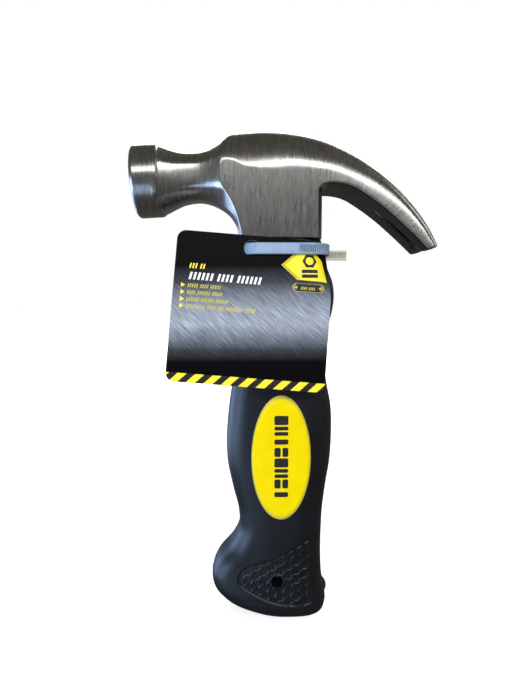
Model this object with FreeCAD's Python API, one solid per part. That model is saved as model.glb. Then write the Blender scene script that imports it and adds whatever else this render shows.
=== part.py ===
"""Stubby claw hammer: forged head, moulded handle with inlays, and a retail tag held by a cable tie.

Millimetres. +Z runs up the handle, the striking face points to -X, the claw to +X, and the tag hangs
on the -Y side. The origin is where the handle's axis meets the flat of the butt.
"""
import FreeCAD, Part
import math
import os

Vector = FreeCAD.Vector

# Head
CHEEK_HALF_Y = 11.5          # flat sides of the head
CHEEK_LEFT_X = -14.6
CHEEK_RIGHT_X = 14.2
CHEEK_BOTTOM_Z = 137.0
CHEEK_TOP_Z = 160.0          # buried in the crown
CHEEK_EDGE_BEVEL = (1.8, 3.2)  # X and Y legs of the bevel on the cheek's upright edges
TRIM = 1.5                   # extra width that is cut away to leave the flat sides

POLL_NECK = (-29.0, 158.7)   # X and Z of the middle of the neck's waist
POLL_DROOP_DEG = 3.5         # the poll's axis falls this much towards the face
BELL_R = 12.5
BELL_REAR = 12.5             # distances along the poll's axis from the neck's waist
BELL_FACE = 22.2
FACE_CHAMFER = 1.3
REAR_CHAMFER = 0.5
FACE_CROWN_R = 170.0

# Neck sections: X, middle Z, half height, half width in Y, roundness exponent
NECK_SECTIONS = [
    (-43.0, 157.9, 12.0, 12.0, 2.0),
    (-40.0, 157.6, 10.9, 10.9, 2.1),
    (-37.2, 157.8, 9.7, 9.7, 2.2),
    (-34.2, 158.2, 8.7, 8.8, 2.4),
    (-31.0, 158.5, 8.2, 8.3, 2.6),
    (-27.4, 158.8, 8.3, 8.6, 2.6),
    (-24.0, 159.0, 9.2, 9.7, 2.6),
    (-21.0, 159.2, 10.7, 11.2, 2.6),
    (-18.6, 159.4, 12.5, 12.8, 2.6),
    (-16.8, 159.3, 14.3, 14.8, 2.6),
    (-15.2, 158.9, 16.6, 17.4, 2.6),
    (-13.0, 158.0, 22.0, 24.0, 2.6),
]

HORN_END_X = -13.0

# Crown and claw sections: outer X and Z, inner X and Z, half width, height of the flat side.
# The first four carry the crown over the poll, where it trims the horn.
CROWN_SECTIONS = [
    (-46.0, 168.5, -46.0, 140.0, 12.0, 23.0),
    (-30.0, 171.8, -30.0, 140.0, 12.0, 23.5),
    (-18.0, 173.6, -18.0, 140.0, 12.0, 21.0),
    (-12.0, 174.2, -12.0, 141.0, 12.0, 17.0),
    (-5.0, 174.6, -3.0, 149.0, 12.0, 9.0),
    (3.0, 174.2, 4.5, 152.5, 12.0, 5.4),
    (11.5, 172.8, 10.5, 154.0, 12.0, 4.2),
    (19.5, 170.2, 17.0, 155.0, 11.9, 3.6),
    (28.5, 165.7, 24.0, 153.9, 11.6, 3.1),
    (37.5, 158.9, 31.0, 149.9, 11.3, 2.7),
    (45.5, 150.3, 38.0, 144.7, 11.1, 2.5),
    (51.5, 142.2, 45.0, 138.6, 10.9, 1.9),
    (55.2, 135.2, 50.6, 133.3, 10.6, 1.2),
]
CROWN_EDGE_ROUND = 0.8       # cut corner along the inner face, and its largest share of the flat side
CROWN_EDGE_SHARE = 0.4
CROWN_ARCH_POWER = 0.9       # below 1 fills the rounded top out a little beyond an ellipse
CROWN_ARCH_POINTS = 12
SLOT_APEX = (35.0, 149.0)    # X and Z where the nail slot starts
SLOT_END = (54.5, 132.0)
SLOT_HALF_APEX = 0.5
SLOT_HALF_END = 3.9
SLOT_DEPTH = 16.0

# Eye, core and bond
CORE_X = 9.2                 # half sizes of the core
CORE_Y = 6.2
CORE_CORNER = 2.5
CORE_BOTTOM_Z = 6.0
CORE_TOP_Z = 165.5
EYE_GAP = 0.9                # the bond's thickness round the core
EYE_CAP_Z = 167.5            # the bond's top, below the crown

# Starter magnet
GROOVE_R = 2.8
GROOVE_LENGTH = 34.0
GROOVE_DEPTH = 2.2
MAGNET_R = 2.0
MAGNET_THICK = 2.8
MAGNET_SUNK = 0.15           # the magnet's face below the groove's floor
MAGNET_FROM_FACE = 5.2

# Grip stations: Z, left X, right X, half thickness
GRIP_STATIONS = [
    (0.0, -3.6, 12.6, 9.0),
    (1.6, -8.6, 15.9, 11.4),
    (4.2, -16.2, 17.3, 12.8),
    (8.6, -22.6, 17.0, 13.4),
    (14.4, -24.9, 16.0, 13.5),
    (20.4, -22.8, 15.6, 13.4),
    (26.0, -17.9, 15.5, 13.2),
    (32.0, -14.9, 15.6, 13.1),
    (39.0, -14.9, 15.9, 13.1),
    (48.5, -17.1, 17.0, 13.4),
    (58.5, -19.0, 18.5, 13.8),
    (68.0, -19.1, 19.0, 13.9),
    (78.0, -18.2, 18.7, 13.6),
    (88.0, -16.8, 16.9, 13.1),
    (97.0, -16.2, 16.2, 12.8),
    (105.0, -16.9, 16.8, 13.4),
    (112.0, -18.6, 18.7, 14.3),
    (117.5, -19.2, 19.3, 14.7),
    (122.5, -18.6, 18.7, 13.8),
    (126.5, -17.1, 17.2, 12.8),
    (131.0, -15.3, 15.3, 11.5),
    (136.8, -14.7, 14.7, 11.0),
]
GRIP_EXPONENT = 3.2

# Inlays
BADGE_CENTRE = (0.1, 61.2)
BADGE_HALF_X = 10.5
BADGE_HALF_Z = 22.2
BADGE_SEAT_Y = 11.8
BADGE_TOP_Y = 14.2
BADGE_DOME_R = 95.0

# Hang hole
HANG_HOLE = (-1.2, 15.9)
HANG_HOLE_R = 2.1

# Tag: its plane leans out at the bottom, held off by the grip's upper bulge
TAG_TILT_DEG = 9.0
TAG_BACK_POINT = (-15.5, 117.5)    # Y and Z of a point on the back of the tag
TAG_THICK = 0.5
TAG_WIDTH = 52.6
TAG_HEIGHT = 50.6
TAG_CORNER_R = 3.0
TAG_TURN_DEG = -4.6
TAG_CENTRE = (-10.4, -5.1)         # in the tag's plane, from the point above
TAG_HOLE = (-9.9, 15.9)
TAG_HOLE_R = 2.75
FOLD_APEX = (17.1, -3.0)           # the folds of the wrapped corner fan out from here
FOLD_TOP_V = 20.0
FOLD_TOP_U = (4.2, 7.8, 11.4, 15.0)
FOLD_DEG = 15.0

# Cable tie: corners of its middle line, front left first, with the radius at each
TIE_Z = 133.2
TIE_WIDTH = 3.8
TIE_THICK = 1.1
TIE_FRONT_Y = -14.45
TIE_BACK_Y = 12.9
TIE_SIDE_X = 16.4
TIE_CORNERS = [
    (-8.7, TIE_FRONT_Y, 2.2),
    (TIE_SIDE_X, TIE_FRONT_Y, 7.2),
    (TIE_SIDE_X, TIE_BACK_Y, 7.5),
    (-TIE_SIDE_X, TIE_BACK_Y, 7.5),
    (-TIE_SIDE_X, -5.2, 5.0),
    (-13.4, -10.2, 4.0),
]
TIE_HEAD = (-4.0, 4.5, 4.6, 5.4)   # low X, high X, depth in Y, height in Z
TIE_TAIL_X = 27.0


def superellipse(centre, axis_a, axis_b, half_a, half_b, exponent, count=32):
    """A closed smooth wire round a superellipse in the plane of two axes."""
    points = []
    for i in range(count):
        angle = 2 * math.pi * i / count
        cosine = math.cos(angle)
        sine = math.sin(angle)
        a = half_a * math.copysign(abs(cosine) ** (2 / exponent), cosine)
        b = half_b * math.copysign(abs(sine) ** (2 / exponent), sine)
        points.append(centre + axis_a * a + axis_b * b)
    curve = Part.BSplineCurve()
    curve.interpolate(Points=points, PeriodicFlag=True)
    return Part.Wire([curve.toShape()])


def rounded_bar(half_x, half_y, corner, z_low, z_high):
    """An upright bar with rounded corners."""
    bar = Part.makeBox(2 * half_x, 2 * half_y, z_high - z_low, Vector(-half_x, -half_y, z_low))
    upright = [edge for edge in bar.Edges if abs(edge.tangentAt(edge.FirstParameter).z) > 0.99]
    return bar.makeFillet(corner, upright)


def elliptic_post(half_x, half_z, y_low, y_high, centre):
    """A post along +Y with an elliptic section."""
    ellipse = Part.Ellipse(Vector(0, 0, 0), half_z, half_x)
    wire = Part.Wire([ellipse.toShape()])
    face = Part.Face(wire)
    post = face.extrude(Vector(0, 0, y_high - y_low))
    post.rotate(Vector(0, 0, 0), Vector(0, 0, 1), 90)
    post.rotate(Vector(0, 0, 0), Vector(1, 0, 0), -90)
    post.translate(Vector(centre[0], y_low, centre[1]))
    return post


def poll_axis():
    """The neck's waist and the direction from it to the face."""
    droop = math.radians(POLL_DROOP_DEG)
    start = Vector(POLL_NECK[0], 0, POLL_NECK[1])
    return start, Vector(-math.cos(droop), 0, -math.sin(droop))


def bell():
    """The striking bell: a short cylinder with a chamfered, slightly crowned face."""
    start, towards_face = poll_axis()
    base = start + towards_face * BELL_REAR
    length = BELL_FACE - BELL_REAR
    body = Part.makeCylinder(BELL_R, length, base, towards_face)
    rim = [edge for edge in body.Edges if edge.Closed]
    front = max(rim, key=lambda edge: (edge.CenterOfMass - base).dot(towards_face))
    rear = min(rim, key=lambda edge: (edge.CenterOfMass - base).dot(towards_face))
    body = body.makeChamfer(FACE_CHAMFER, [front])
    rear_edge = min(body.Edges, key=lambda edge: (edge.CenterOfMass - rear.CenterOfMass).Length)
    body = body.makeChamfer(REAR_CHAMFER, [rear_edge])
    crown_centre = start + towards_face * (BELL_FACE - FACE_CROWN_R)
    crown = Part.makeSphere(FACE_CROWN_R, crown_centre)
    return body.common(crown)


def horn():
    """The waisted neck, flaring like a horn into the cheeks and past the head's sides."""
    wires = []
    for x, z, half_z, half_y, exponent in NECK_SECTIONS:
        wires.append(superellipse(Vector(x, 0, z), Vector(0, 1, 0), Vector(0, 0, 1), half_y, half_z, exponent))
    return Part.makeLoft(wires, True, False)


def cheek():
    """The block round the eye, with bevelled upright edges, still too wide at the sides."""
    leg_x, leg_y = CHEEK_EDGE_BEVEL
    slope = leg_x / leg_y
    inner_y = CHEEK_HALF_Y - leg_y
    outer_y = CHEEK_HALF_Y + TRIM
    cut = (outer_y - inner_y) * slope
    points = [
        Vector(CHEEK_RIGHT_X, -inner_y, CHEEK_BOTTOM_Z),
        Vector(CHEEK_RIGHT_X, inner_y, CHEEK_BOTTOM_Z),
        Vector(CHEEK_RIGHT_X - cut, outer_y, CHEEK_BOTTOM_Z),
        Vector(CHEEK_LEFT_X + cut, outer_y, CHEEK_BOTTOM_Z),
        Vector(CHEEK_LEFT_X, inner_y, CHEEK_BOTTOM_Z),
        Vector(CHEEK_LEFT_X, -inner_y, CHEEK_BOTTOM_Z),
        Vector(CHEEK_LEFT_X + cut, -outer_y, CHEEK_BOTTOM_Z),
        Vector(CHEEK_RIGHT_X - cut, -outer_y, CHEEK_BOTTOM_Z),
    ]
    face = Part.Face(Part.makePolygon(points + points[:1]))
    return face.extrude(Vector(0, 0, CHEEK_TOP_Z - CHEEK_BOTTOM_Z))


def crown_section(outer, inner, half_width, side_height):
    """A flat-sided section with a rounded top, standing on the claw's inner face."""
    foot = Vector(inner[0], 0, inner[1])
    top = Vector(outer[0], 0, outer[1])
    up = (top - foot).normalize()
    height = (top - foot).Length
    across = Vector(0, 1, 0)
    edge_round = min(CROWN_EDGE_ROUND, side_height * CROWN_EDGE_SHARE)
    left_foot = foot - across * (half_width - edge_round)
    right_foot = foot + across * (half_width - edge_round)
    left_side = foot - across * half_width + up * edge_round
    right_side = foot + across * half_width + up * edge_round
    left_shoulder = foot - across * half_width + up * side_height
    right_shoulder = foot + across * half_width + up * side_height
    arch = []
    for i in range(1, CROWN_ARCH_POINTS):
        angle = math.pi * i / CROWN_ARCH_POINTS
        reach = half_width * math.copysign(abs(math.cos(angle)) ** CROWN_ARCH_POWER, math.cos(angle))
        lift = side_height + (height - side_height) * math.sin(angle) ** CROWN_ARCH_POWER
        arch.append(foot + across * reach + up * lift)
    curve = Part.BSplineCurve()
    curve.interpolate([right_shoulder] + arch + [left_shoulder])
    return Part.Wire([
        Part.LineSegment(left_foot, right_foot).toShape(),
        Part.LineSegment(right_foot, right_side).toShape(),
        Part.LineSegment(right_side, right_shoulder).toShape(),
        curve.toShape(),
        Part.LineSegment(left_shoulder, left_side).toShape(),
        Part.LineSegment(left_side, left_foot).toShape(),
    ])


def crown_and_claw():
    """One smooth run of sections from over the poll to the claw's tips."""
    wires = []
    for outer_x, outer_z, inner_x, inner_z, half_width, side_height in CROWN_SECTIONS:
        wires.append(crown_section((outer_x, outer_z), (inner_x, inner_z), half_width, side_height))
    return Part.makeLoft(wires, True, False)


def nail_slot():
    """The tapered slot between the claw's two tines, cut square to the claw's inner face."""
    apex = Vector(SLOT_APEX[0], 0, SLOT_APEX[1])
    end = Vector(SLOT_END[0], 0, SLOT_END[1])
    along = (end - apex).normalize()
    outward = Vector(-along.z, 0, along.x)
    far_end = end + along * 8
    far_half = SLOT_HALF_END * 1.3
    across = Vector(0, 1, 0)
    base = outward * -SLOT_DEPTH
    points = [
        apex - across * SLOT_HALF_APEX + base,
        apex + across * SLOT_HALF_APEX + base,
        far_end + across * far_half + base,
        far_end - across * far_half + base,
    ]
    face = Part.Face(Part.makePolygon(points + points[:1]))
    return face.extrude(outward * (2 * SLOT_DEPTH))


def magnet_place():
    """The middle of the groove's floor over the magnet, and the poll's own directions."""
    start, towards_face = poll_axis()
    up = Vector(towards_face.z, 0, -towards_face.x)
    floor = start + towards_face * (BELL_FACE - MAGNET_FROM_FACE) + up * (BELL_R - GROOVE_DEPTH)
    return floor, up, towards_face


def starter_cut():
    """The groove along the bell's top and the magnet's pocket in its floor."""
    floor, up, towards_face = magnet_place()
    rear = floor + up * GROOVE_R - towards_face * (GROOVE_LENGTH / 2)
    groove = Part.makeCylinder(GROOVE_R, GROOVE_LENGTH, rear, towards_face)
    depth = MAGNET_THICK + MAGNET_SUNK
    pocket = Part.makeCylinder(MAGNET_R, depth + 1, floor - up * depth, up)
    return groove.fuse(pocket)


def head():
    """The forged head, with its eye, nail slot, starter groove and magnet pocket."""
    reach = Part.makeBox(100, 60, 60, Vector(HORN_END_X, -30, 125))
    upper = crown_and_claw().common(horn().fuse(reach))
    body = upper.fuse(cheek())
    flat_sides = Part.makeBox(140, 2 * CHEEK_HALF_Y, 60, Vector(-60, -CHEEK_HALF_Y, 125))
    body = body.common(flat_sides).fuse(bell())
    eye = rounded_bar(CORE_X + EYE_GAP, CORE_Y + EYE_GAP, CORE_CORNER + EYE_GAP, CHEEK_BOTTOM_Z - 5,
                      EYE_CAP_Z)
    return body.cut([eye, nail_slot(), starter_cut()])


def starter_magnet():
    """A small disc magnet in the floor of the starter groove."""
    floor, up, _ = magnet_place()
    base = floor - up * (MAGNET_THICK + MAGNET_SUNK)
    return Part.makeCylinder(MAGNET_R, MAGNET_THICK, base, up)


def hang_bore(radius):
    """The hole through the butt that the hammer hangs by."""
    return Part.makeCylinder(radius, 60, Vector(HANG_HOLE[0], -30, HANG_HOLE[1]), Vector(0, 1, 0))


def handle_core():
    """The bar inside the grip that carries the head."""
    bar = rounded_bar(CORE_X, CORE_Y, CORE_CORNER, CORE_BOTTOM_Z, CORE_TOP_Z)
    return bar.cut(hang_bore(HANG_HOLE_R))


def eye_bond():
    """The cast bond between the core and the eye, closed over the core's top."""
    block = rounded_bar(CORE_X + EYE_GAP, CORE_Y + EYE_GAP, CORE_CORNER + EYE_GAP, CHEEK_BOTTOM_Z, EYE_CAP_Z)
    bar = rounded_bar(CORE_X, CORE_Y, CORE_CORNER, CORE_BOTTOM_Z, CORE_TOP_Z)
    return block.cut(bar)


def badge(side):
    """An oval inlay with a gently domed face; side is -1 for the front and 1 for the back."""
    post = elliptic_post(BADGE_HALF_X, BADGE_HALF_Z, BADGE_SEAT_Y, BADGE_TOP_Y + 1, BADGE_CENTRE)
    dome_axis = Vector(BADGE_CENTRE[0], BADGE_TOP_Y - BADGE_DOME_R, 0)
    dome = Part.makeCylinder(BADGE_DOME_R, 120, dome_axis, Vector(0, 0, 1))
    inlay = post.common(dome)
    if side < 0:
        inlay = inlay.mirror(Vector(0, 0, 0), Vector(0, 1, 0))
    return inlay


def grip():
    """The moulded grip: waisted, with a hooked heel, cored for the bar and pocketed for the inlays."""
    wires = []
    for z, left, right, half_y in GRIP_STATIONS:
        middle = Vector((left + right) / 2, 0, z)
        wires.append(superellipse(middle, Vector(1, 0, 0), Vector(0, 1, 0), (right - left) / 2, half_y,
                                  GRIP_EXPONENT))
    body = Part.makeLoft(wires, True, False)
    bar = rounded_bar(CORE_X, CORE_Y, CORE_CORNER, CORE_BOTTOM_Z, CORE_TOP_Z)
    front = elliptic_post(BADGE_HALF_X, BADGE_HALF_Z, -BADGE_TOP_Y - 5, -BADGE_SEAT_Y, BADGE_CENTRE)
    back = elliptic_post(BADGE_HALF_X, BADGE_HALF_Z, BADGE_SEAT_Y, BADGE_TOP_Y + 5, BADGE_CENTRE)
    return body.cut([bar, front, back, hang_bore(HANG_HOLE_R)])


def tag_axes():
    """The tag's own axes: a point on its back, across, up and its outward normal."""
    tilt = math.radians(TAG_TILT_DEG)
    point = Vector(0, TAG_BACK_POINT[0], TAG_BACK_POINT[1])
    across = Vector(1, 0, 0)
    up = Vector(0, math.sin(tilt), math.cos(tilt))
    outward = Vector(0, -math.cos(tilt), math.sin(tilt))
    return point, across, up, outward


def tag_point(u, v, lift=0.0):
    point, across, up, outward = tag_axes()
    return point + across * u + up * v + outward * lift


def beyond_fold(index):
    """A thick plate over the part of the tag's plane that lies past one fold."""
    apex_u, apex_v = FOLD_APEX
    run_u = FOLD_TOP_U[index] - apex_u
    run_v = FOLD_TOP_V - apex_v
    length = math.hypot(run_u, run_v)
    run_u = run_u / length
    run_v = run_v / length
    corners = []
    for along, out in ((-30, 0), (60, 0), (60, 60), (-30, 60)):
        u = apex_u + run_u * along + run_v * out
        v = apex_v + run_v * along - run_u * out
        corners.append(tag_point(u, v, -1.0))
    face = Part.Face(Part.makePolygon(corners + corners[:1]))
    return face.extrude(tag_axes()[3] * (TAG_THICK + 2))


def fold_line(index):
    """A point on one fold, on the tag's front, and the way it turns towards the back."""
    low = tag_point(FOLD_APEX[0], FOLD_APEX[1], TAG_THICK)
    high = tag_point(FOLD_TOP_U[index], FOLD_TOP_V, TAG_THICK)
    return low, high - low


def flat_tag():
    """The card before its corner is wrapped: round corners and a hole."""
    plate = Part.makeBox(TAG_WIDTH, TAG_HEIGHT, TAG_THICK, Vector(-TAG_WIDTH / 2, -TAG_HEIGHT / 2, 0))
    upright = [edge for edge in plate.Edges if abs(edge.tangentAt(edge.FirstParameter).z) > 0.99]
    plate = plate.makeFillet(TAG_CORNER_R, upright)
    plate.rotate(Vector(0, 0, 0), Vector(0, 0, 1), TAG_TURN_DEG)
    plate.translate(Vector(TAG_CENTRE[0], TAG_CENTRE[1], 0))
    hole = Part.makeCylinder(TAG_HOLE_R, 4, Vector(TAG_HOLE[0], TAG_HOLE[1], -2))
    plate = plate.cut(hole)
    plate.rotate(Vector(0, 0, 0), Vector(1, 0, 0), 90 - TAG_TILT_DEG)
    plate.translate(tag_axes()[0])
    return plate


def hang_tag():
    """The printed card, its upper corner wrapped back round the neck in a fan of shallow folds."""
    rest = flat_tag()
    strips = []
    for index in range(len(FOLD_TOP_U)):
        past = beyond_fold(index)
        strips.append(rest.cut(past))
        rest = rest.common(past)
    strips.append(rest)
    card = strips[0]
    for count in range(1, len(strips)):
        strip = strips[count]
        for index in reversed(range(count)):
            point, axis = fold_line(index)
            strip.rotate(point, axis, FOLD_DEG)
        card = card.fuse(strip)
    return card


def rounded_loop(points, radii):
    """Straight runs joined by tangent arcs, as one closed wire."""
    edges = []
    count = len(points)
    starts = []
    ends = []
    arcs = []
    for i in range(count):
        here = points[i]
        to_last = (points[i - 1] - here).normalize()
        to_next = (points[(i + 1) % count] - here).normalize()
        half_turn = (math.pi - to_last.getAngle(to_next)) / 2
        cut = radii[i] * math.tan(half_turn)
        middle = (to_last + to_next).normalize()
        bulge = radii[i] / math.cos(half_turn) - radii[i]
        starts.append(here + to_last * cut)
        ends.append(here + to_next * cut)
        arcs.append(here + middle * bulge)
    for i in range(count):
        edges.append(Part.Arc(starts[i], arcs[i], ends[i]).toShape())
        edges.append(Part.LineSegment(ends[i], starts[(i + 1) % count]).toShape())
    return Part.Wire(edges)


def band(wire, half_thick):
    """The strap: a ribbon of the tie's width round a path."""
    low = Vector(0, 0, -TIE_WIDTH / 2)
    high = Vector(0, 0, TIE_WIDTH)
    rims = [wire.makeOffset2D(half_thick), wire.makeOffset2D(-half_thick)]
    rims.sort(key=lambda rim: rim.BoundBox.XLength)
    posts = []
    for rim in rims:
        post = Part.Face(rim).extrude(high)
        post.translate(low)
        posts.append(post)
    return posts[1].cut(posts[0])


def cable_tie():
    """The nylon tie: its loop, the lock box behind the neck and the free tail, in one moulding."""
    points = [Vector(x, y, TIE_Z) for x, y, _ in TIE_CORNERS]
    radii = [radius for _, _, radius in TIE_CORNERS]
    loop = band(rounded_loop(points, radii), TIE_THICK / 2)
    low_x, high_x, depth, height = TIE_HEAD
    inner_y = TIE_BACK_Y - TIE_THICK / 2
    box = Part.makeBox(high_x - low_x, depth, height, Vector(low_x, inner_y, TIE_Z - height / 2))
    box = box.makeFillet(0.8, [edge for edge in box.Edges if edge.CenterOfMass.y > inner_y + 0.1])
    tail_y = TIE_BACK_Y + TIE_THICK / 2 + 0.5
    tail = Part.makeBox(TIE_TAIL_X - high_x + 1, TIE_THICK, TIE_WIDTH,
                        Vector(high_x - 1, tail_y, TIE_Z - TIE_WIDTH / 2))
    return loop.fuse([box, tail])


def export(name, shape):
    """Writes one sub-part and prints what can be checked at a glance."""
    shape.exportStep("parts/" + name + ".step")
    box = shape.BoundBox
    print("%-16s solids %d valid %s volume %.0f  x %.1f..%.1f  y %.1f..%.1f  z %.1f..%.1f" % (
        name, len(shape.Solids), shape.isValid(), shape.Volume,
        box.XMin, box.XMax, box.YMin, box.YMax, box.ZMin, box.ZMax))


def main():
    os.makedirs("parts", exist_ok=True)
    export("head", head())
    export("starter_magnet", starter_magnet())
    export("handle_core", handle_core())
    export("eye_bond", eye_bond())
    export("grip", grip())
    export("badge_front", badge(-1))
    export("badge_back", badge(1))
    export("hang_tag", hang_tag())
    export("cable_tie", cable_tie())


main()
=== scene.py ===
"""Looks of the stubby claw hammer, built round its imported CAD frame, with shapes in millimetres."""
import math

import bmesh
import bpy
import numpy as np
from mathutils import Matrix, Vector
from mathutils.geometry import delaunay_2d_cdt


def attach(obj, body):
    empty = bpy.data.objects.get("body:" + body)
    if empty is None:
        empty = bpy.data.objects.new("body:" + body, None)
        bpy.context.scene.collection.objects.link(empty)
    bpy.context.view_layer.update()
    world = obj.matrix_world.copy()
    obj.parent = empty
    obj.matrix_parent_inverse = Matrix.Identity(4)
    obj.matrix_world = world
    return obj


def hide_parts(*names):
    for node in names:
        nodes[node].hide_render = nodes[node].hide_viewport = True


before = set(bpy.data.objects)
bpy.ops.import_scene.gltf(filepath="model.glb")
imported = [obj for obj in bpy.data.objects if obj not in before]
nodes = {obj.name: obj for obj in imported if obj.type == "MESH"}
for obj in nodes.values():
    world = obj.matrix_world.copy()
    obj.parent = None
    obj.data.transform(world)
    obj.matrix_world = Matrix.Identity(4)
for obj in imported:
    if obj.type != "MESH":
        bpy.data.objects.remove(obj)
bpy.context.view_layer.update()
MM = 0.001


# ---------------------------------------------------------------- shared maths

def smooth_max(a, b, radius):
    """The larger of two distances, with their corner rounded."""
    overlap = np.maximum(radius - np.abs(a - b), 0)
    return np.maximum(a, b) + overlap * overlap / (4 * radius)


def smooth_min(a, b, radius):
    return -smooth_max(-a, -b, radius)


def smoothstep(value, low, high):
    t = np.clip((value - low) / (high - low), 0, 1)
    return t * t * (3 - 2 * t)


def curve_through(keys, values):
    """A smooth function through the given values, made of cubic pieces."""
    keys = np.array(keys, float)
    values = np.array(values, float)
    steps = np.diff(keys)
    slopes = np.diff(values) / steps
    inner = (slopes[:-1] * steps[1:] + slopes[1:] * steps[:-1]) / (steps[1:] + steps[:-1])
    tangents = np.concatenate([[slopes[0]], inner, [slopes[-1]]])

    def at(x):
        x = np.clip(x, keys[0], keys[-1])
        i = np.clip(np.searchsorted(keys, x, side="right") - 1, 0, len(keys) - 2)
        t = (x - keys[i]) / steps[i]
        t2 = t * t
        t3 = t2 * t
        return ((2 * t3 - 3 * t2 + 1) * values[i] + (t3 - 2 * t2 + t) * steps[i] * tangents[i]
                + (3 * t2 - 2 * t3) * values[i + 1] + (t3 - t2) * steps[i] * tangents[i + 1])
    return at


def turn_matrix(angle):
    """Turns row vectors anticlockwise in their plane."""
    c = math.cos(angle)
    s = math.sin(angle)
    return np.array([(c, s), (-s, c)])


def unit(vectors):
    return vectors / (np.linalg.norm(vectors, axis=-1, keepdims=True) + 1e-9)


def path_length(points):
    """How far along its path each point is."""
    return np.concatenate([[0], np.cumsum(np.linalg.norm(np.diff(points, axis=0), axis=1))])


def new_mesh(name, vertices, faces, smooth=True):
    """A mesh object from points in millimetres."""
    mesh = bpy.data.meshes.new(name)
    mesh.from_pydata((np.asarray(vertices, float) * MM).tolist(), [], [list(map(int, f)) for f in faces])
    mesh.validate()
    mesh.update()
    mesh.polygons.foreach_set("use_smooth", [smooth] * len(mesh.polygons))
    obj = bpy.data.objects.new(name, mesh)
    bpy.context.scene.collection.objects.link(obj)
    return obj


def add_attribute(obj, name, kind, values):
    attribute = obj.data.attributes.new(name, kind, "POINT")
    field = "vector" if kind == "FLOAT_VECTOR" else "value"
    attribute.data.foreach_set(field, np.asarray(values, np.float32).ravel())


def change_faces(obj, operation, **settings):
    """Runs one bmesh operation on all the faces of a mesh."""
    edit = bmesh.new()
    edit.from_mesh(obj.data)
    operation(edit, faces=edit.faces, **settings)
    edit.to_mesh(obj.data)
    edit.free()


def recalculate_normals(obj):
    change_faces(obj, bmesh.ops.recalc_face_normals)


def ring_quads(rings, count, closed=False):
    """Quads between rings of points that follow each other."""
    faces = []
    for i in range(rings if closed else rings - 1):
        here = i * count
        there = (i + 1) % rings * count
        for k in range(count):
            after = (k + 1) % count
            faces.append((here + k, here + after, there + after, there + k))
    return faces


def end_fans(rings, count):
    """Fans over the first and last ring, round the two points that follow the rings."""
    tip = rings * count
    last = tip - count
    faces = []
    for k in range(count):
        after = (k + 1) % count
        faces += [(tip, after, k), (tip + 1, last + k, last + after)]
    return faces


def oval(centre, half, count):
    turns = [2 * math.pi * k / count for k in range(count)]
    return np.array([(centre[0] + half[0] * math.cos(a), centre[1] + half[1] * math.sin(a)) for a in turns])


def round_box(half_u, half_v, corner, steps):
    """A box outline with round corners, about the origin."""
    ring = []
    for quarter, (su, sv) in enumerate(((1, 1), (-1, 1), (-1, -1), (1, -1))):
        for k in range(steps + 1):
            a = math.pi / 2 * (quarter + k / steps)
            ring.append((su * (half_u - corner) + corner * math.cos(a),
                         sv * (half_v - corner) + corner * math.sin(a)))
    return np.array(ring)


def apply_modifiers(obj):
    bpy.context.view_layer.update()
    graph = bpy.context.evaluated_depsgraph_get()
    mesh = bpy.data.meshes.new_from_object(obj.evaluated_get(graph))
    obj.modifiers.clear()
    obj.data = mesh


def post(name, ring, low, high, axis):
    """A closed post over a ring of points; axis 1 runs along Y, axis 2 along Z."""
    count = len(ring)
    vertices = []
    for level in (low, high):
        for a, b in ring:
            vertices.append((a, level, b) if axis == 1 else (a, b, level))
    faces = [list(range(count)), list(range(2 * count - 1, count - 1, -1))]
    obj = new_mesh(name, vertices, faces + ring_quads(2, count), smooth=False)
    recalculate_normals(obj)
    return obj


def cut(obj, cutter):
    """Cuts one closed mesh out of another and removes it."""
    modifier = obj.modifiers.new("cut", "BOOLEAN")
    modifier.operation = "DIFFERENCE"
    modifier.solver = "EXACT"
    modifier.object = cutter
    apply_modifiers(obj)
    bpy.data.objects.remove(cutter)


def smooth_to(obj, degrees):
    """Smooth shading, with sharp edges where faces turn by more than this."""
    obj.data.polygons.foreach_set("use_smooth", [True] * len(obj.data.polygons))
    obj.data.set_sharp_from_angle(angle=math.radians(degrees))


# ---------------------------------------------------------------- head

CHEEK_HALF_Y = 11.5
CHEEK_LEFT_X = -14.6
CHEEK_RIGHT_X = 14.2
CHEEK_BOTTOM_Z = 137.0
CHEEK_TOP_Z = 155.5
BEVEL_X = 1.8
BEVEL_Y = 3.2
POLL_NECK = (-29.0, 158.7)
POLL_DROOP = math.radians(3.5)
BELL_R = 12.5
BELL_REAR = 12.5
BELL_FACE = 22.2
FACE_CHAMFER = 1.3
REAR_CHAMFER = 0.5
FACE_CROWN_R = 170.0
HORN_END_X = -13.0
# X, middle Z, half height, half width in Y, roundness exponent
NECK_SECTIONS = np.array([
    (-43.0, 157.9, 12.0, 12.0, 2.0), (-40.0, 157.6, 10.9, 10.9, 2.1), (-37.2, 157.8, 9.7, 9.7, 2.2),
    (-34.2, 158.2, 8.7, 8.8, 2.4), (-31.0, 158.5, 8.2, 8.3, 2.6), (-27.4, 158.8, 8.3, 8.6, 2.6),
    (-24.0, 159.0, 9.2, 9.7, 2.6), (-21.0, 159.2, 10.7, 11.2, 2.6), (-18.6, 159.4, 12.5, 12.8, 2.6),
    (-16.8, 159.3, 14.3, 14.8, 2.6), (-15.2, 158.9, 16.6, 17.4, 2.6), (-13.0, 158.0, 22.0, 24.0, 2.6),
])
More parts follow.
